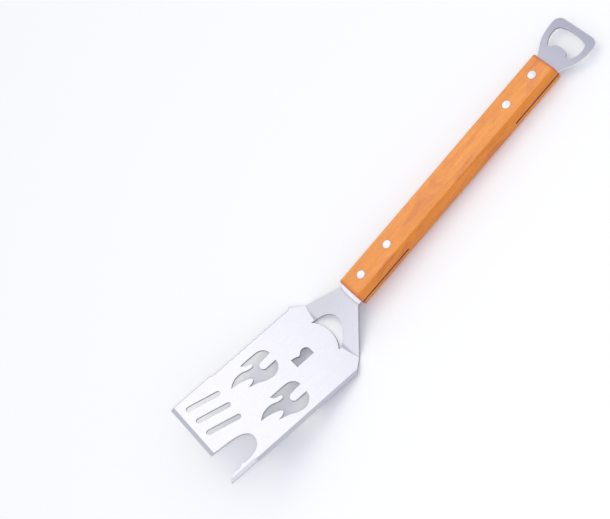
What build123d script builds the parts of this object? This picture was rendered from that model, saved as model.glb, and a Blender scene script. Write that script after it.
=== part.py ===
from build123d import *
import math
import os

# Grill spatula, millimetres.  Every piece is drawn in the tang frame: z = 0 is the
# tang's mid-plane, x = 0 the front end of the wooden handle, +X runs to the blade's
# front edge and +Y to its knife side.  The last section sets the whole tool down
# on the floor the way it comes to rest.

# ---- driving dimensions -------------------------------------------------------
SHEET = 1.6              # thickness of both stainless pressings

HANDLE_LENGTH = 245.0
HANDLE_WIDTH = 27.8
HANDLE_HEIGHT = 17.0
HANDLE_TOP_WIDTH = 22.4  # flat between the two long chamfers
HANDLE_SIDE_HEIGHT = 9.4  # upright band between upper and lower chamfer
HANDLE_LONG_ROUND = 1.6  # the eight long edges of the wood are sanded round
HANDLE_END_ROUND = 1.5

FRONT_KERF = 58.0        # saw cut into each end of the handle, across its full width
REAR_KERF = 53.5
FRONT_TANG = 56.0        # the part of each tang that is inside its kerf
REAR_TANG = 52.0
TANG_WIDTH = 25.0
TANG_CORNER = 3.0

RIVETS_FROM_FRONT = (16.2, 48.9)   # a pair at each end of the handle
RIVETS_FROM_REAR = (15.0, 46.6)
RIVET_HEAD_DIAMETER = 7.4
RIVET_HEAD_THICKNESS = 1.2
RIVET_CROWN = 0.25       # how far the slightly domed head stands proud
RIVET_SLEEVE_DIAMETER = 5.0
RIVET_PIN_DIAMETER = 3.0
RIVET_END_GAP = 0.8      # space past the end of the pin and of the sleeve
TANG_HOLE_DIAMETER = 5.2

NECK_START = 4.5         # upper bend, on the centre line
NECK_SLOPE = 19.8        # degrees down from the tang, on the centre line
NECK_ARCH_RADIUS = 220.0  # the neck is pressed as a shallow arch
NECK_BOTTOM_WIDTH = 74.0
BEND_RADIUS = 2.0        # inside radius of both bends
HEEL_X = 36.1            # lower bend, at the neck's edges
HEEL_DROP = 14.7         # how far the heel lies below the tang

BLADE_RISE = 14.8        # degrees the blade climbs toward its front edge
BLADE_LENGTH = 144.0     # from the heel, along the blade
BLADE_WIDTH = 93.6
SHOULDER_LENGTH = 11.0   # slanted corner from the neck to the blade's full width
SHOULDER_ROUND = 1.5

FRONT_BEVEL_WIDTH = 3.4
FRONT_EDGE = 0.5         # thickness the grinding leaves at the edge
KNIFE_BEVEL_WIDTH = 2.6
KNIFE_EDGE = 0.4
KNIFE_START = 9.7        # from the heel
TINE_BEVEL_WIDTH = 3.2
TINE_EDGE = 0.9

SCALLOPS = 13            # the serrated edge is ground in, below the plain edge's line
SCALLOP_PITCH = 6.6
SCALLOP_HEIGHT = 0.75    # from crest to hollow
SCALLOP_DEPTH = 1.85     # from the plain edge to the hollows
SCALLOP_START = 16.7     # centre of the first one, from the heel

NOTCH_MOUTH_Y = 13.4     # where the notch's side leaves the front edge
TINE_ROOT = 118.5        # from the heel
TINE_INSET = 0.7         # the tine's outside lies this far inside the knife edge
TINE_TIP = (146.0, 45.8)

SLOT_LENGTH = 32.4
SLOT_WIDTH = 5.1
SLOT_TURN = -15.5        # degrees from the blade's axis
SLOT_X = 119.0
SLOT_Y = (-32.0, -16.6, -1.2)

FLAME_X = 50.0           # root of the flame cutouts, from the heel
FLAME_Y = (-19.7, 23.5)

KEY_BACK, KEY_FRONT = 24.0, 42.2    # the small hole nearest the neck, from the heel
KEY_RIGHT, KEY_LEFT = -4.8, 4.4

CRESCENT_TIP_X = 43.1    # the opening across the lower bend, from the handle
CRESCENT_WIDTH = 38.4
CRESCENT_Y = -0.9
CRESCENT_BACK = (23.8, 1.0)   # the point where the opening reaches furthest up the neck
TONGUE_BACK_X = 37.1     # where the blade's flat tongue ends inside it

OPENER_LENGTH = 38.8     # what stands out behind the handle
OPENER_WIDTH = 47.2
OPENER_CORNER = 7.4
MOUTH_LIP_X = -18.0      # the lip that lifts the cap, from the handle's rear end
MOUTH_FAR_X = -33.3      # far side of the mouth, from the same end
MOUTH_WIDTH = 34.4

GRINDER = 15.0           # size of the block that grinds a bevel
OVERRUN = 4.0            # how far the sheet and the grinder run past a finished edge
FAR = 60.0               # a cutting tool's reach past whatever it cuts
REACH = 600.0            # edge of the blocks that bound the bent sheet


# ---- helpers ------------------------------------------------------------------
def blade_plane(height):
    """Local x runs up the blade from the heel; height is above its mid-plane."""
    rise = math.radians(BLADE_RISE)
    normal = Vector(-math.sin(rise), 0, math.cos(rise))
    heel = Vector(HEEL_X, 0, -HEEL_DROP) + normal * height
    return Plane(origin=heel, x_dir=(math.cos(rise), 0, math.sin(rise)), z_dir=normal)


def through(plane, face):
    """A tool that cuts one outline right through the sheet, square to the plane."""
    return extrude(plane * face, amount=FAR / 2, both=True)


def mirrored(points):
    """The right-hand half of an outline, followed back by its left-hand image."""
    return points + [(x, -y) for x, y in reversed(points)]


def arcs(points):
    """Arcs end to end through a run of points: on, via, on, via, on."""
    starts = range(0, len(points) - 2, 2)
    return [ThreePointArc(*points[i:i + 3]) for i in starts]


# ---- blade: bent sheet --------------------------------------------------------
def bend_edge(solid):
    """The only elliptical edge in the middle of a block is the bend line."""
    candidates = solid.edges().filter_by(GeomType.ELLIPSE)
    return candidates.sort_by(lambda edge: abs(edge.center().Z))[0]


def block_under(depth):
    """All the space under the pressing's upper face, lowered by depth."""
    block = Box(REACH, BLADE_WIDTH + 2 * OVERRUN, REACH, align=(Align.CENTER, Align.CENTER, Align.MAX))
    slope = math.radians(NECK_SLOPE)
    along = Vector(math.cos(slope), 0, -math.sin(slope))
    down = Vector(-math.sin(slope), 0, -math.cos(slope))
    arch_centre = Vector(NECK_START, 0, SHEET / 2) + down * NECK_ARCH_RADIUS
    arch = Plane(origin=arch_centre, x_dir=(0, 1, 0), z_dir=along)
    neck = extrude(arch * Circle(NECK_ARCH_RADIUS - depth), amount=REACH / 2, both=True)
    block_behind = (Pos(0, 0, SHEET / 2 - depth) * block) & neck
    upper_bend = bend_edge(block_behind)
    block_behind = fillet(upper_bend, BEND_RADIUS + SHEET - depth)
    whole = block_behind + blade_plane(SHEET / 2 - depth) * block
    lower_bend = bend_edge(whole)
    return fillet(lower_bend, BEND_RADIUS + depth)


def bent_sheet():
    """Tang, arched neck and flat blade, one thickness throughout, wide as the block."""
    return block_under(0) - block_under(SHEET)


# ---- blade: outline and openings ----------------------------------------------
def plan_x(along_blade):
    """Distance up the blade from the heel, turned into x."""
    return HEEL_X + along_blade * math.cos(math.radians(BLADE_RISE))


def blade_outline():
    """Seen from above: tang, flaring neck, shoulders and the blade's two long sides."""
    half = BLADE_WIDTH / 2
    right_side = [
        (-FRONT_TANG, -TANG_WIDTH / 2),
        (NECK_START, -TANG_WIDTH / 2),
        (HEEL_X, -NECK_BOTTOM_WIDTH / 2),
        (plan_x(SHOULDER_LENGTH), -half),
        (plan_x(BLADE_LENGTH + FAR), -half),
    ]
    face = make_face(Polyline(*mirrored(right_side), close=True))
    tang_end = face.vertices().group_by(Axis.X)[0]
    face = fillet(tang_end, TANG_CORNER)
    shoulders = [v for v in face.vertices() if abs(v.X - plan_x(SHOULDER_LENGTH)) < 0.01]
    return fillet(shoulders, SHOULDER_ROUND)


def front_cut():
    """What is cut away in front: the straight edge, the notch and around the tine."""
    beyond = BLADE_LENGTH + FAR
    notch = [(127.0, 14.9), (119.9, 15.9), (112.9, 18.2), (108.6, 22.2), (107.4, 27.0),
             (108.7, 32.8), (112.6, 36.9), (119.4, 39.3), (127.0, 39.9)]
    barb = (128.7, 38.0)
    inside_of_tine = [barb, (130.6, 39.6), (133.8, 41.0), (136.6, 40.4), (139.2, 40.5),
                      (143.4, 42.4), TINE_TIP]
    outside_y = BLADE_WIDTH / 2 - TINE_INSET
    outline = [
        Line((BLADE_LENGTH, -FAR), (BLADE_LENGTH, NOTCH_MOUTH_Y)),
        Line((BLADE_LENGTH, NOTCH_MOUTH_Y), notch[0]),
        Spline(*notch, tangents=[(-1, 0.06), (1, 0.02)]),
        Line(notch[-1], barb),
        *arcs(inside_of_tine),
        Line(TINE_TIP, (TINE_TIP[0], outside_y)),
        Line((TINE_TIP[0], outside_y), (TINE_ROOT, outside_y)),
        Line((TINE_ROOT, outside_y), (TINE_ROOT, FAR)),
        Line((TINE_ROOT, FAR), (beyond, FAR)),
        Line((beyond, FAR), (beyond, -FAR)),
        Line((beyond, -FAR), (BLADE_LENGTH, -FAR)),
    ]
    return make_face(outline)


def flame():
    """A three-tongued flame, its root at x = 0 and its middle on y = 0."""
    right_tip, left_tip, top_tip = (26.0, -14.4), (33.5, 7.4), (44.5, -3.0)
    right_side = [right_tip, (17.5, -14.6), (9.0, -14.4), (2.6, -11.0), (0.4, -5.0)]
    root_bump = [(11.2, -3.9), (15.0, 0.2), (12.4, 4.3)]
    left_side = [(1.0, 4.3), (4.0, 12.0), (11.0, 15.4), (16.6, 14.4), (21.5, 11.8),
                 (27.4, 9.2), left_tip]
    left_crook = [left_tip, (30.0, 6.8), (26.8, 5.4), (26.0, 3.4), (27.7, 1.4),
                  (35.4, -1.6), top_tip]
    right_crook = [top_tip, (36.4, -8.3), (26.6, -7.5), (23.6, -6.3), (20.4, -5.9),
                   (17.8, -7.9), (19.8, -9.8), (23.6, -11.2), right_tip]
    edges = [Line(right_side[-1], root_bump[0]), Line(root_bump[-1], left_side[0])]
    for run in (right_side, root_bump, left_side, left_crook, right_crook):
        edges += arcs(run)
    return make_face(edges)


def keyhole():
    """Square at the front and left, scooped on its right side near the neck."""
    edges = [
        Line((KEY_FRONT, KEY_RIGHT), (KEY_FRONT, KEY_LEFT)),
        Line((KEY_FRONT, KEY_LEFT), (KEY_BACK, KEY_LEFT)),
        Line((KEY_BACK, KEY_LEFT), (KEY_BACK, -1.6)),
        ThreePointArc((KEY_BACK, -1.6), (28.4, -6.2), (33.0, -3.4)),
        ThreePointArc((33.0, -3.4), (35.0, -2.7), (37.2, -3.9)),
        Line((37.2, -3.9), (KEY_FRONT, KEY_RIGHT)),
    ]
    return make_face(edges)


def lens(*between):
    """Between the chord across the crescent's tips and arcs that bulge backward."""
    right_tip = (CRESCENT_TIP_X, CRESCENT_Y - CRESCENT_WIDTH / 2)
    left_tip = (CRESCENT_TIP_X, CRESCENT_Y + CRESCENT_WIDTH / 2)
    bulge = arcs([right_tip, *between, left_tip])
    return make_face([*bulge, Line(left_tip, right_tip)])


def crescent(sheet):
    """Open the lower bend; the tongue left inside stays flat, in line with the blade."""
    neck_side = [(35.7, -16.9), (29.8, -12.3), (25.4, -6.2), CRESCENT_BACK, (28.9, 11.9)]
    sheet = sheet - through(Plane.XY, lens(*neck_side))
    flat = blade_plane(0) * Box(FAR, FAR, SHEET)
    return sheet + (flat & through(Plane.XY, lens((TONGUE_BACK_X, CRESCENT_Y))))


def vents():
    """The flame, slot and keyhole openings, as flat outlines on the blade."""
    flames = [Pos(FLAME_X, y) * flame() for y in FLAME_Y]
    slots = [
        Pos(SLOT_X, y) * Rot(0, 0, SLOT_TURN) * SlotOverall(SLOT_LENGTH, SLOT_WIDTH)
        for y in SLOT_Y
    ]
    return flames + slots + [keyhole()]


# ---- blade: ground edges ------------------------------------------------------
def grind(start, end, width, edge_left):
    """The wedge a grinder takes off, falling away to the left of start-to-end."""
    run = Vector(end[0] - start[0], end[1] - start[1], 0)
    line = Plane(origin=(start[0], start[1], 0), x_dir=run, z_dir=(0, 0, 1))
    fall = math.degrees(math.atan2(SHEET - edge_left, width))
    wedge = Box(run.length, GRINDER, GRINDER, align=(Align.MIN, Align.MIN, Align.MIN))
    upper_face = blade_plane(SHEET / 2)
    return upper_face.location * line.location * Rot(-fall, 0, 0) * wedge


def scallops():
    """The serrated right-hand edge: a row of shallow round bites."""
    half_chord = SCALLOP_PITCH / 2
    radius = (half_chord**2 + SCALLOP_HEIGHT**2) / (2 * SCALLOP_HEIGHT)
    y = -BLADE_WIDTH / 2 - radius + SCALLOP_DEPTH
    return [Pos(SCALLOP_START + i * SCALLOP_PITCH, y) * Circle(radius) for i in range(SCALLOPS)]


def turner_blade():
    flat = blade_plane(0)
    blade = bent_sheet() & through(Plane.XY, blade_outline())
    blade = crescent(blade)
    for outline in vents() + scallops():
        blade = blade - through(flat, outline)
    blade = blade - through(flat, front_cut())
    for from_front in RIVETS_FROM_FRONT:
        blade = blade - Pos(-from_front, 0, 0) * Cylinder(TANG_HOLE_DIAMETER / 2, 2 * SHEET)
    half = BLADE_WIDTH / 2
    front_line = BLADE_LENGTH - FRONT_BEVEL_WIDTH
    knife_line = half - KNIFE_BEVEL_WIDTH
    blade = blade - grind((front_line, NOTCH_MOUTH_Y + OVERRUN), (front_line, -half - OVERRUN),
                          FRONT_BEVEL_WIDTH, FRONT_EDGE)
    blade = blade - grind((KNIFE_START, knife_line), (TINE_ROOT, knife_line),
                          KNIFE_BEVEL_WIDTH, KNIFE_EDGE)
    tine_line = half - TINE_INSET - TINE_BEVEL_WIDTH
    blade = blade - grind((TINE_ROOT, tine_line), (BLADE_LENGTH + OVERRUN, tine_line),
                          TINE_BEVEL_WIDTH, TINE_EDGE)
    return blade


# ---- bottle opener ------------------------------------------------------------
def opener_outline():
    """Behind the handle, x measured from its rear end: a waisted plate, blunt end."""
    half = OPENER_WIDTH / 2
    corner_x = OPENER_CORNER - OPENER_LENGTH
    corner_y = half - OPENER_CORNER
    nick = OPENER_CORNER * math.sqrt(0.5)
    edges = []
    for side in (1, -1):
        waist = (0, TANG_WIDTH / 2)
        flank = [waist, (-6.3, 15.8), (-13.0, 20.0), (-20.0, 22.4), (corner_x, half)]
        edges.append(Spline(*[(x, side * y) for x, y in flank]))
        edges.append(ThreePointArc(
            (corner_x, side * half),
            (corner_x - nick, side * (corner_y + nick)),
            (-OPENER_LENGTH, side * corner_y),
        ))
    edges.append(Line((-OPENER_LENGTH, corner_y), (-OPENER_LENGTH, -corner_y)))
    edges.append(Line((0, TANG_WIDTH / 2), (0, -TANG_WIDTH / 2)))
    return make_face(edges)


def opener_mouth():
    """The opening that takes a crown cap, with the lifting lip on the handle's side."""
    side = (-26.2, MOUTH_WIDTH / 2)
    left = [(MOUTH_FAR_X, 0), (-32.9, 6.6), (-31.7, 12.3), (-29.9, 15.8), side,
            (-20.6, 16.7), (-15.6, 14.2), (-13.0, 11.0), (-14.4, 8.4), (-16.4, 6.5),
            (-17.5, 4.2), (-17.9, 2.1), (MOUTH_LIP_X, 0)]
    right = [(x, -y) for x, y in reversed(left[:-1])]
    return make_face(arcs(left + right))


def bottle_opener():
    tang = make_face(Polyline(*mirrored([
        (REAR_TANG, -TANG_WIDTH / 2),
        (0, -TANG_WIDTH / 2),
    ]), close=True))
    tang = fillet(tang.vertices().group_by(Axis.X)[-1], TANG_CORNER)
    rear = Pos(-HANDLE_LENGTH, 0, 0)
    plate = extrude(rear * tang, SHEET / 2, both=True)
    plate = plate + extrude(rear * opener_outline(), SHEET / 2, both=True)
    plate = plate - through(Plane.XY, rear * opener_mouth())
    for from_rear in RIVETS_FROM_REAR:
        hole = Cylinder(TANG_HOLE_DIAMETER / 2, 2 * SHEET)
        plate = plate - rear * Pos(from_rear, 0, 0) * hole
    return plate


# ---- handle -------------------------------------------------------------------
def rivet_stations():
    """The x of each rivet, front to back."""
    front = [-from_front for from_front in RIVETS_FROM_FRONT]
    rear = [-HANDLE_LENGTH + from_rear for from_rear in reversed(RIVETS_FROM_REAR)]
    return front + rear


def kerf(depth):
    """The saw cut a tang slides into, from x = 0 back; its blind end is rounded."""
    radius = SHEET / 2
    slot = Pos(radius - depth, 0, 0) * Box(
        2 * FAR, 2 * FAR, SHEET, align=(Align.MIN, Align.CENTER, Align.CENTER))
    blind_end = Pos(radius - depth, 0, 0) * Rot(90, 0, 0) * Cylinder(radius, 2 * FAR)
    return slot + blind_end


def wood_handle():
    half_top, half_width = HANDLE_TOP_WIDTH / 2, HANDLE_WIDTH / 2
    half_side, half_height = HANDLE_SIDE_HEIGHT / 2, HANDLE_HEIGHT / 2
    left = [
        (half_top, half_height),
        (half_width, half_side),
        (half_width, -half_side),
        (half_top, -half_height),
    ]
    right = [(-y, -z) for y, z in left]
    octagon = make_face(Polyline(*left, *right, close=True))
    octagon = fillet(octagon.vertices(), HANDLE_LONG_ROUND)
    end_plane = Plane(origin=(0, 0, 0), x_dir=(0, 1, 0), z_dir=(1, 0, 0))
    handle = extrude(end_plane * octagon, amount=-HANDLE_LENGTH)
    end_rims = handle.edges().group_by(Axis.X)[0] + handle.edges().group_by(Axis.X)[-1]
    handle = fillet(end_rims, HANDLE_END_ROUND)
    handle = handle - kerf(FRONT_KERF)
    handle = handle - Pos(-HANDLE_LENGTH, 0, 0) * Rot(0, 0, 180) * kerf(REAR_KERF)
    seat = HANDLE_HEIGHT / 2 - RIVET_HEAD_THICKNESS
    for x in rivet_stations():
        handle = handle - Pos(x, 0, 0) * Cylinder(RIVET_SLEEVE_DIAMETER / 2, FAR)
        for side in (1, -1):
            recess = Cylinder(RIVET_HEAD_DIAMETER / 2, RIVET_HEAD_THICKNESS * 2)
            handle = handle - Pos(x, 0, side * (seat + RIVET_HEAD_THICKNESS)) * recess
    return handle


# ---- two-piece compression rivets ---------------------------------------------
def turned(points):
    """A round piece about z from the radius-height outline of its section."""
    section = make_face(points)
    return revolve(Plane.XZ * section, Axis.Z)


def rivet_head():
    """Flat seat on z = 0, upright rim and a slightly domed crown."""
    radius = RIVET_HEAD_DIAMETER / 2
    top = RIVET_HEAD_THICKNESS
    crown = top + RIVET_CROWN
    dome = (radius**2 + RIVET_CROWN**2) / (2 * RIVET_CROWN)
    halfway = math.asin(radius / dome) / 2
    middle = (dome * math.sin(halfway), crown - dome + dome * math.cos(halfway))
    return turned([
        Line((0, 0), (radius, 0)),
        Line((radius, 0), (radius, top)),
        ThreePointArc((radius, top), middle, (0, crown)),
        Line((0, crown), (0, 0)),
    ])


def hanging_cylinder(diameter, length):
    return Cylinder(diameter / 2, length, align=(Align.CENTER, Align.CENTER, Align.MAX))


def rivet_halves(x):
    """The pin comes from above and presses into the sleeve, which comes from below."""
    seat = HANDLE_HEIGHT / 2 - RIVET_HEAD_THICKNESS
    shank = 2 * seat - RIVET_END_GAP
    pin = rivet_head() + hanging_cylinder(RIVET_PIN_DIAMETER, shank)
    sleeve = rivet_head() + hanging_cylinder(RIVET_SLEEVE_DIAMETER, shank)
    sleeve = sleeve - hanging_cylinder(RIVET_PIN_DIAMETER, shank)
    from_above = Pos(x, 0, seat)
    from_below = Pos(x, 0, -seat) * Rot(180, 0, 0)
    return from_above * pin, from_below * sleeve


# ---- the tool at rest ---------------------------------------------------------
def rest_pitch(blade, handle):
    """Nose-up angle at which heel and rear end of the handle touch one floor."""
    pitch = 0.0
    span = HEEL_X + HANDLE_LENGTH
    for _ in range(4):
        heel_z = (Rot(0, -pitch, 0) * blade).bounding_box().min.Z
        rear_z = (Rot(0, -pitch, 0) * handle).bounding_box().min.Z
        pitch += math.degrees(math.atan2(rear_z - heel_z, span))
    return pitch


def assembly():
    pieces = {
        "turner_blade": turner_blade(),
        "wood_handle": wood_handle(),
        "bottle_opener": bottle_opener(),
    }
    for number, x in enumerate(rivet_stations(), start=1):
        pin, sleeve = rivet_halves(x)
        pieces[f"rivet_pin_{number}"] = pin
        pieces[f"rivet_sleeve_{number}"] = sleeve
    return pieces


pieces = assembly()
pitch = rest_pitch(pieces["turner_blade"], pieces["wood_handle"])
laid = {name: Rot(0, -pitch, 0) * piece for name, piece in pieces.items()}
whole = Compound(children=[Part() + piece for piece in laid.values()]).bounding_box()
to_origin = Pos(-whole.center().X, -whole.center().Y, -whole.min.Z)

os.makedirs("parts", exist_ok=True)
for name, piece in laid.items():
    export_step(to_origin * piece, f"parts/{name}.step")
print("pitch", round(pitch, 4), "shift", to_origin.position, "size", whole.size)
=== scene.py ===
import bpy
import math
from mathutils import Matrix, Vector


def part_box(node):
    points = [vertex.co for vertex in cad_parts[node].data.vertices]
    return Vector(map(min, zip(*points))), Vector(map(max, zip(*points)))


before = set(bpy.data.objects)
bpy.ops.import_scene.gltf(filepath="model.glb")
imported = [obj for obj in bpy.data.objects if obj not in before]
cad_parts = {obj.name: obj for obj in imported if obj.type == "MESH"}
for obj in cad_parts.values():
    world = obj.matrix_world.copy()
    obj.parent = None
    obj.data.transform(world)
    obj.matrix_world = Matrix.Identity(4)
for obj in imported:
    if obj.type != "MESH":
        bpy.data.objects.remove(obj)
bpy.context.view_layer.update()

MM = 0.001

# ---- camera --------------------------------------------------------------------
CAMERA_AT = (-0.04665, 0.6812, 1.0468)
LOOKS_AT = (0.06065, -0.0620, 0.0100)
ROLL = math.radians(-57.065)
LENS_MM = 88.52
SENSOR_MM = 36.0
FARTHEST_SEEN = 20.0

# ---- light ---------------------------------------------------------------------
FILL_COLOUR = (0.85, 0.858, 0.95, 1)    # cool light from all round
KEY_COLOUR = (1.0, 0.96, 0.30)          # warmer light from above the far side
KEY_AT = (-0.15, -1.10, 2.10)
KEY_SIZE = (1.5, 1.5)
KEY_WATTS = 6.6
FRONT_COLOUR = (0.87, 0.90, 1.0)        # soft light from over the viewer's shoulder
FRONT_AT = (-0.06, 0.89, 1.37)
FRONT_SIZE = (0.25, 0.25)
FRONT_WATTS = 5.8
CARD_COLOUR = (1, 1, 1)                 # what the flat steel mirrors
CARD_AT = (-0.09, -0.60, 0.90)
CARD_SIZE = (0.48, 0.60)
CARD_WATTS = 0.43

# ---- floor ---------------------------------------------------------------------
FLOOR_HALF = 4.0
FLOOR_FINISH = {
    "Metallic": 0.0,
    "Base Color": (0.9, 0.9, 0.9, 1),
    "Roughness": 0.7,
    "Specular IOR Level": 0.1,
}

# ---- the tool's own directions -------------------------------------------------
AHEAD = (1, 0, 0)
ASIDE = (0, 1, 0)
UP = (0, 0, 1)
PITCH = math.radians(1.41)              # the handle's tilt, nose up
HANDLE_UP = (-math.sin(PITCH), 0, math.cos(PITCH))
BLADE_TILT = math.radians(14.8) + PITCH
BLADE_UP = (-math.sin(BLADE_TILT), 0, math.cos(BLADE_TILT))

# ---- places on the tool, from the frame ----------------------------------------
HANDLE_LOW, HANDLE_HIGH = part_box("wood_handle")
HANDLE_MIDDLE = (HANDLE_LOW + HANDLE_HIGH) / 2
HANDLE_FRONT = HANDLE_HIGH.x
HANDLE_REAR = HANDLE_LOW.x
UPPER_BEND = (HANDLE_FRONT + 0.4 * MM, HANDLE_FRONT + 10.4 * MM)
NECK = (HANDLE_FRONT + 4.4 * MM, HANDLE_FRONT + 37.4 * MM)
LOWER_BEND = (HANDLE_FRONT + 26.4 * MM, HANDLE_FRONT + 42.4 * MM)
GRINDING_STARTS = (HANDLE_FRONT + 36.9 * MM, HANDLE_FRONT + 37.9 * MM)
SERRATED_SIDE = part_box("turner_blade")[0].y
SERRATION = (SERRATED_SIDE + 3.2 * MM, SERRATED_SIDE + 2.6 * MM)
OPENER_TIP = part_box("bottle_opener")[0].x
MOUTH_X = (OPENER_TIP + 3.5 * MM, HANDLE_REAR - 9.0 * MM)
MOUTH_Y = (-18.4 * MM, 18.4 * MM)
RIVETS = [sum(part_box(f"rivet_pin_{i}"), Vector()) / 2 for i in range(1, 5)]


# ---- node helpers --------------------------------------------------------------
def add(tree, kind, inputs=None, **settings):
    """One shader node; an input is given as a number, a colour or another socket."""
    node = tree.nodes.new("ShaderNode" + kind)
    for name, value in settings.items():
        setattr(node, name, value)
    for key, value in (inputs or {}).items():
        if isinstance(value, bpy.types.NodeSocket):
            tree.links.new(value, node.inputs[key])
        else:
            node.inputs[key].default_value = value
    return node


def calc(tree, operation, a, b=0.0):
    return add(tree, "Math", {0: a, 1: b}, operation=operation).outputs[0]


def vector_calc(tree, operation, a, b=(0, 0, 0), result="Vector"):
    return add(tree, "VectorMath", {0: a, 1: b}, operation=operation).outputs[result]


def along(tree, vector, direction):
    """How far a vector reaches in a fixed direction."""
    return vector_calc(tree, "DOT_PRODUCT", vector, direction, "Value")


def from_axis(tree, spot, middle):
    """How far a spot is from the line through the middle along z."""
    offset = vector_calc(tree, "SUBTRACT", spot, middle)
    level = vector_calc(tree, "MULTIPLY", offset, (1, 1, 0))
    return vector_calc(tree, "LENGTH", level, result="Value")


def surface(tree):
    """Where a shaded spot is, and the way that its face points."""
    spot = add(tree, "TexCoord").outputs["Object"]
    normal = add(tree, "NewGeometry").outputs["True Normal"]
    return spot, normal


# ---- masks: white where something is so ----------------------------------------
def fade(tree, value, start, end, low=0.0, high=1.0):
    """A smooth step: low where value is at start, high where it is at end."""
    inputs = {"Value": value, "From Min": start, "From Max": end, "To Min": low, "To Max": high}
    return add(tree, "MapRange", inputs, interpolation_type="SMOOTHSTEP").outputs["Result"]


def both(tree, a, b):
    return calc(tree, "MULTIPLY", a, b)


def either(tree, a, b):
    return calc(tree, "MAXIMUM", a, b)


def between(tree, value, low, high, soft):
    """White from low to high, with soft edges inside that range."""
    return both(tree, fade(tree, value, low, low + soft), fade(tree, value, high, high - soft))


def at_edges(tree, radius, full_at=0.86):
    """White along sharp edges, where a rounded normal leaves the flat one."""
    flat = add(tree, "NewGeometry").outputs["True Normal"]
    rounded = add(tree, "Bevel", {"Radius": radius}, samples=6).outputs["Normal"]
    cosine = vector_calc(tree, "DOT_PRODUCT", flat, rounded, "Value")
    return fade(tree, cosine, 0.995, full_at)


# ---- textures, colours and relief ----------------------------------------------
def blend(tree, factor, a, b, how="MIX"):
    inputs = {0: factor, 6: a, 7: b}
    return add(tree, "Mix", inputs, data_type="RGBA", blend_type=how).outputs[2]


def tint(tree, colour, mask, shade, share=1.0, how="MIX"):
    """Blends a share of one shade into the colour where the mask is white."""
    factor = mask if share == 1.0 else calc(tree, "MULTIPLY", mask, share)
    return blend(tree, factor, colour, shade, how)


def noise(tree, spot, grains, detail=3.0, roughness=0.55, distortion=0.0):
    """Noise with so many grains to each unit of the spot, along x, y and z."""
    scaled = add(tree, "Mapping", {"Vector": spot, "Scale": grains}).outputs[0]
    inputs = {"Vector": scaled, "Scale": 1.0, "Detail": detail, "Roughness": roughness,
              "Distortion": distortion}
    return add(tree, "TexNoise", inputs).outputs["Fac"]


def brushed(tree, spot, run, across):
    """Fine scratches and broader streaks that run along x."""
    fine = noise(tree, spot, (run, across, across), detail=4.0, roughness=0.65)
    broad = noise(tree, spot, (run / 5, across / 6, across / 6), detail=2.0)
    return blend(tree, 0.4, fine, broad)


def relief(tree, height, strength, depth, edge_radius):
    """The normal of a finely marked surface whose edges are slightly rounded."""
    rounded = add(tree, "Bevel", {"Radius": edge_radius}, samples=6).outputs["Normal"]
    inputs = {"Strength": strength, "Distance": depth, "Height": height, "Normal": rounded}
    return add(tree, "Bump", inputs).outputs["Normal"]


def new_material(name, fixed):
    """A material, its tree and its shader, with the values that are the same all over."""
    material = bpy.data.materials.new(name)
    material.use_nodes = True
    tree = material.node_tree
    shader = tree.nodes["Principled BSDF"]
    for key, value in fixed.items():
        shader.inputs[key].default_value = value
    return material, tree, shader


def connect(tree, shader, **sockets):
    for name, socket in sockets.items():
        tree.links.new(socket, shader.inputs[name.replace("_", " ")])


# ---- blade ---------------------------------------------------------------------
BLADE_FINISH = {"Metallic": 1.0}
BLADE_ROUGHNESS = (0.24, 0.36)
BLADE_DARK = (0.765, 0.755, 0.765, 1)
BLADE_LIGHT = (0.865, 0.855, 0.86, 1)
BLADE_CLOUD = (0.795, 0.78, 0.80, 1)
BLADE_NECK_SHEEN = (0.91, 0.895, 0.915, 1)
BLADE_BEND_SHADE = (0.50, 0.51, 0.57, 1)
BLADE_GROUND_SHADE = (0.60, 0.60, 0.64, 1)
BLADE_CUT_FINISH_AND_SHADE = (0.42, 0.425, 0.45, 1)
BLADE_WORN = (0.93, 0.93, 0.95, 1)
BLADE_SERRATION_SHADE = (0.42, 0.40, 0.48, 1)
UPPER_LEAN = (0.0, 0.30)                # how far forward each bend's curved strip faces
LOWER_LEAN = (-0.26, 0.30)


def in_bends(tree, x, normal):
    """White on the curved strip of each bend, between its two flats."""
    leaning = along(tree, normal, AHEAD)
    upper = both(tree, between(tree, leaning, *UPPER_LEAN, 0.04),
                 between(tree, x, *UPPER_BEND, 1 * MM))
    lower = both(tree, between(tree, leaning, *LOWER_LEAN, 0.04),
                 between(tree, x, *LOWER_BEND, 1 * MM))
    return either(tree, upper, lower)


def on_grinding(tree, x, flatness):
    """White on the facets along the blade's edges, 17 to 37 degrees off its flat."""
    facet = both(tree, fade(tree, flatness, 0.967, 0.957), fade(tree, flatness, 0.75, 0.80))
    return both(tree, facet, fade(tree, x, *GRINDING_STARTS))


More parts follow.
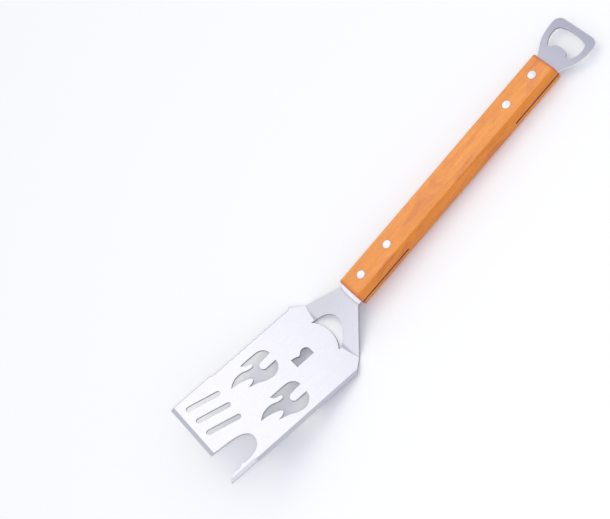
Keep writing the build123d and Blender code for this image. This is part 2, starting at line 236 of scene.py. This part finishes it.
def blade_steel():
    material, tree, shader = new_material("brushed_blade_steel", BLADE_FINISH)
    spot, normal = surface(tree)
    x = along(tree, spot, AHEAD)
    y = along(tree, spot, ASIDE)
    flatness = along(tree, normal, BLADE_UP)
    streaks = brushed(tree, spot, run=60.0, across=2400.0)
    clouds = noise(tree, spot, (22.0, 30.0, 30.0))
    # This is white on the cut walls, and on the underside too.
    cut = fade(tree, flatness, 0.45, 0.30)
    # Painted sheen: the neck is brighter on the side away from the serration.
    painted_neck_sheen = both(tree, between(tree, x, *NECK, 2 * MM), fade(tree, y, -20 * MM, 30 * MM))
    serration_shade = both(tree, at_edges(tree, 1.3 * MM, 0.96), fade(tree, y, *SERRATION))

    colour = blend(tree, streaks, BLADE_DARK, BLADE_LIGHT)
    colour = tint(tree, colour, fade(tree, clouds, 0.35, 0.7), BLADE_CLOUD, 0.35)
    # Painted sheen across the neck.
    colour = tint(tree, colour, painted_neck_sheen, BLADE_NECK_SHEEN)
    # Painted shade along the curved strip of each bend.
    colour = tint(tree, colour, in_bends(tree, x, normal), BLADE_BEND_SHADE, 0.5)
    # Painted shade on the ground facets along the edges.
    colour = tint(tree, colour, on_grinding(tree, x, flatness), BLADE_GROUND_SHADE)
    # The cut walls and the underside are darkened: partly a rougher cut finish, partly painted
    # shade.
    colour = tint(tree, colour, cut, BLADE_CUT_FINISH_AND_SHADE)
    colour = tint(tree, colour, at_edges(tree, 0.25 * MM), BLADE_WORN, 0.35)
    # Painted shade along the serrated edge.
    colour = tint(tree, colour, serration_shade, BLADE_SERRATION_SHADE)
    rough = fade(tree, streaks, 0.2, 0.8, *BLADE_ROUGHNESS)
    rough = calc(tree, "ADD", rough, calc(tree, "MULTIPLY", cut, 0.15))
    bump = relief(tree, streaks, strength=0.12, depth=0.02 * MM, edge_radius=0.45 * MM)
    connect(tree, shader, Base_Color=colour, Roughness=rough, Normal=bump)
    return material


# ---- bottle opener -------------------------------------------------------------
OPENER_FINISH = {"Metallic": 1.0}
OPENER_ROUGHNESS = (0.34, 0.46)
OPENER_DARK = (0.52, 0.515, 0.56, 1)
OPENER_LIGHT = (0.62, 0.615, 0.66, 1)
OPENER_CLOUD = (0.56, 0.56, 0.61, 1)
OPENER_TIP_SHADE = (0.46, 0.475, 0.53, 1)
OPENER_RIM_HIGHLIGHT = (0.84, 0.85, 0.88, 1)
OPENER_MOUTH_SHADE = (0.30, 0.29, 0.30, 1)
OPENER_WORN = (0.88, 0.88, 0.92, 1)


def opener_steel():
    material, tree, shader = new_material("satin_opener_steel", OPENER_FINISH)
    spot, normal = surface(tree)
    x = along(tree, spot, AHEAD)
    y = along(tree, spot, ASIDE)
    streaks = brushed(tree, spot, run=220.0, across=1500.0)
    clouds = noise(tree, spot, (70.0, 70.0, 70.0), detail=4.0)
    # This is white on the cut walls, and on the underside too.
    cut = fade(tree, along(tree, normal, UP), 0.5, 0.2)
    round_mouth = both(tree, between(tree, x, *MOUTH_X, 1 * MM), between(tree, y, *MOUTH_Y, 1 * MM))

    colour = blend(tree, streaks, OPENER_DARK, OPENER_LIGHT)
    colour = tint(tree, colour, fade(tree, clouds, 0.35, 0.7), OPENER_CLOUD, 0.4)
    # Painted shade: the opener darkens towards its tip.
    colour = tint(tree, colour, fade(tree, x, HANDLE_REAR, OPENER_TIP), OPENER_TIP_SHADE, 0.8)
    # Painted highlight on the cut walls, and on the underside with them.
    colour = tint(tree, colour, cut, OPENER_RIM_HIGHLIGHT)
    # Painted shade on the walls inside the mouth.
    colour = tint(tree, colour, both(tree, cut, round_mouth), OPENER_MOUTH_SHADE)
    colour = tint(tree, colour, at_edges(tree, 0.3 * MM), OPENER_WORN, 0.5)
    rough = fade(tree, streaks, 0.2, 0.8, *OPENER_ROUGHNESS)
    bump = relief(tree, streaks, strength=0.2, depth=0.02 * MM, edge_radius=0.3 * MM)
    connect(tree, shader, Base_Color=colour, Roughness=rough, Normal=bump)
    return material


# ---- rivets --------------------------------------------------------------------
RIVET_FINISH = {"Metallic": 1.0}
RIVET_ROUGHNESS = (0.28, 0.42)
RIVET_DARK = (0.84, 0.84, 0.85, 1)
RIVET_LIGHT = (0.92, 0.92, 0.92, 1)
RIVET_RIM_SHADE = (0.62, 0.62, 0.66, 1)


def rivet_metal():
    """Turned heads: faint rings round each rivet's own middle."""
    material, tree, shader = new_material("turned_rivet_metal", RIVET_FINISH)
    # Generated coordinates run from 0 to 1 across each rivet's own box.
    spot = add(tree, "TexCoord").outputs["Generated"]
    radius = from_axis(tree, spot, (0.5, 0.5, 0.0))
    rings = calc(tree, "SINE", calc(tree, "MULTIPLY", radius, 130.0))
    grain = noise(tree, spot, (30.0, 30.0, 30.0))

    colour = blend(tree, grain, RIVET_DARK, RIVET_LIGHT)
    # Painted shade round the rim of each head.
    colour = tint(tree, colour, fade(tree, radius, 0.44, 0.5), RIVET_RIM_SHADE, 0.6)
    rough = fade(tree, grain, 0.3, 0.7, *RIVET_ROUGHNESS)
    bump = relief(tree, rings, strength=0.1, depth=0.02 * MM, edge_radius=0.3 * MM)
    connect(tree, shader, Base_Color=colour, Roughness=rough, Normal=bump)
    return material


# ---- wood ----------------------------------------------------------------------
WOOD_FINISH = {
    "Metallic": 0.0,
    "Specular IOR Level": 0.4,
    "Coat Weight": 0.05,
    "Coat Roughness": 0.3,
}
WOOD_ROUGHNESS = (0.40, 0.56)
WOOD_LIGHT = (0.89, 0.355, 0.084, 1)
WOOD_BAND = (0.80, 0.29, 0.06, 1)
WOOD_FIBRE = (0.66, 0.235, 0.075, 1)
WOOD_CLOUD = (0.62, 0.19, 0.08, 1)
WOOD_PORE = (0.42, 0.12, 0.035, 1)
WOOD_SIDE_SHADE = (0.84, 0.72, 0.31, 1)       # painted shade on the sides; multiplies the colour, so the figure stays
WOOD_RIM = (0.56, 0.14, 0.045, 1)
WOOD_END = (0.50, 0.13, 0.04, 1)
WOOD_RIVET_SHADE = (0.40, 0.13, 0.05, 1)
WOOD_KERF_SHADE = (0.20, 0.08, 0.035, 1)
FRONT_RIM = (HANDLE_FRONT - 4.4 * MM, HANDLE_FRONT - 1.4 * MM)
REAR_RIM = (HANDLE_REAR + 3.4 * MM, HANDLE_REAR + 0.8 * MM)
RIVET_SHADE_RING = (4.5 * MM, 3.7 * MM)       # from a rivet's middle
KERF_HALF = (1.2 * MM, 1.0 * MM)        # from the kerf's middle


def near_rivets(tree, spot):
    """White in a thin ring of painted shade round every rivet head."""
    ring = 0.0
    for rivet in RIVETS:
        ring = either(tree, fade(tree, from_axis(tree, spot, tuple(rivet)), *RIVET_SHADE_RING), ring)
    return ring


def in_kerfs(tree, spot, sideways):
    """White on the sawn faces inside each kerf."""
    middle = Vector(HANDLE_UP).dot(HANDLE_MIDDLE)
    height = calc(tree, "SUBTRACT", along(tree, spot, HANDLE_UP), middle)
    near_middle = fade(tree, calc(tree, "ABSOLUTE", height), *KERF_HALF)
    return both(tree, near_middle, fade(tree, sideways, 0.6, 0.4))


def handle_wood():
    material, tree, shader = new_material("oiled_orange_wood", WOOD_FINISH)
    spot, normal = surface(tree)
    x = along(tree, spot, AHEAD)
    bands = noise(tree, spot, (7.0, 150.0, 150.0), detail=2.0, distortion=0.6)
    fibres = noise(tree, spot, (45.0, 1400.0, 1400.0), detail=4.0, roughness=0.65)
    pores = noise(tree, spot, (300.0, 2600.0, 2600.0), detail=2.0)
    clouds = noise(tree, spot, (26.0, 80.0, 80.0), detail=4.0, distortion=0.8)
    endways = calc(tree, "ABSOLUTE", along(tree, normal, AHEAD))
    sideways = calc(tree, "ABSOLUTE", along(tree, normal, ASIDE))
    rims = either(tree, fade(tree, x, *FRONT_RIM), fade(tree, x, *REAR_RIM))

    colour = blend(tree, fade(tree, bands, 0.3, 0.7), WOOD_LIGHT, WOOD_BAND)
    colour = tint(tree, colour, fade(tree, fibres, 0.35, 0.75), WOOD_FIBRE, 0.55)
    colour = tint(tree, colour, fade(tree, clouds, 0.47, 0.67), WOOD_CLOUD, 0.6)
    colour = tint(tree, colour, fade(tree, pores, 0.60, 0.70), WOOD_PORE, 0.6)
    # Painted shade on the handle's sides.
    colour = tint(tree, colour, fade(tree, sideways, 0.25, 0.62), WOOD_SIDE_SHADE, how="MULTIPLY")
    colour = tint(tree, colour, rims, WOOD_RIM, 0.75)
    colour = tint(tree, colour, fade(tree, endways, 0.35, 0.8), WOOD_END, 0.6)
    # Painted shade in a thin ring round each rivet head.
    colour = tint(tree, colour, near_rivets(tree, spot), WOOD_RIVET_SHADE, 0.45)
    # Painted shade on the sawn faces inside the kerf.
    colour = tint(tree, colour, in_kerfs(tree, spot, sideways), WOOD_KERF_SHADE)
    rough = fade(tree, fibres, 0.3, 0.8, *WOOD_ROUGHNESS)
    grain = calc(tree, "SUBTRACT", fibres, fade(tree, pores, 0.64, 0.78))
    bump = relief(tree, grain, strength=0.25, depth=0.05 * MM, edge_radius=0.5 * MM)
    connect(tree, shader, Base_Color=colour, Roughness=rough, Normal=bump)
    return material


# ---- put the materials on the pieces -------------------------------------------
def finish_with(material, nodes):
    for name in nodes:
        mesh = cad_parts[name].data
        mesh.materials.clear()
        mesh.materials.append(material)


finish_with(blade_steel(), ["turner_blade"])
finish_with(opener_steel(), ["bottle_opener"])
finish_with(handle_wood(), ["wood_handle"])
finish_with(rivet_metal(), [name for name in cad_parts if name.startswith("rivet_")])


# ---- studio --------------------------------------------------------------------
def add_object(data, name):
    item = bpy.data.objects.new(name, data)
    bpy.context.scene.collection.objects.link(item)
    return item


def add_camera():
    data = bpy.data.cameras.new("camera")
    data.lens = LENS_MM
    data.sensor_width = SENSOR_MM
    data.clip_end = FARTHEST_SEEN
    camera = add_object(data, "camera")
    at = Vector(CAMERA_AT)
    forward = (Vector(LOOKS_AT) - at).normalized()
    level = forward.to_track_quat("-Z", "Y").to_matrix().to_4x4()
    camera.matrix_world = Matrix.Translation(at) @ level @ Matrix.Rotation(ROLL, 4, "Z")
    bpy.context.scene.camera = camera


def area_light(name, at, size, watts, colour):
    """A rectangular light that faces the origin."""
    data = bpy.data.lights.new(name, "AREA")
    data.shape = "RECTANGLE"
    data.size, data.size_y = size
    data.energy = watts
    data.color = colour
    light = add_object(data, name)
    light.location = at
    light.rotation_euler = (-Vector(at)).to_track_quat("-Z", "Y").to_euler()
    return light


def add_lights():
    """Two lights that shape the tool, a card that only shows in the steel, and the fill."""
    key = area_light("key", KEY_AT, KEY_SIZE, KEY_WATTS, KEY_COLOUR)
    front = area_light("front", FRONT_AT, FRONT_SIZE, FRONT_WATTS, FRONT_COLOUR)
    for shaping in (key, front):
        shaping.visible_glossy = False
    card = area_light("card", CARD_AT, CARD_SIZE, CARD_WATTS, CARD_COLOUR)
    card.visible_diffuse = False
    world = bpy.data.worlds.new("studio")
    bpy.context.scene.world = world
    world.use_nodes = True
    background = world.node_tree.nodes["Background"]
    background.inputs["Color"].default_value = FILL_COLOUR


def add_floor():
    low, high = -FLOOR_HALF, FLOOR_HALF
    corners = [(low, low, 0), (high, low, 0), (high, high, 0), (low, high, 0)]
    mesh = bpy.data.meshes.new("floor")
    mesh.from_pydata(corners, [], [(0, 1, 2, 3)])
    floor = add_object(mesh, "floor")
    material, _, _ = new_material("floor_white", FLOOR_FINISH)
    mesh.materials.append(material)


add_camera()
add_lights()
add_floor()
bpy.context.scene.view_settings.view_transform = "Standard"
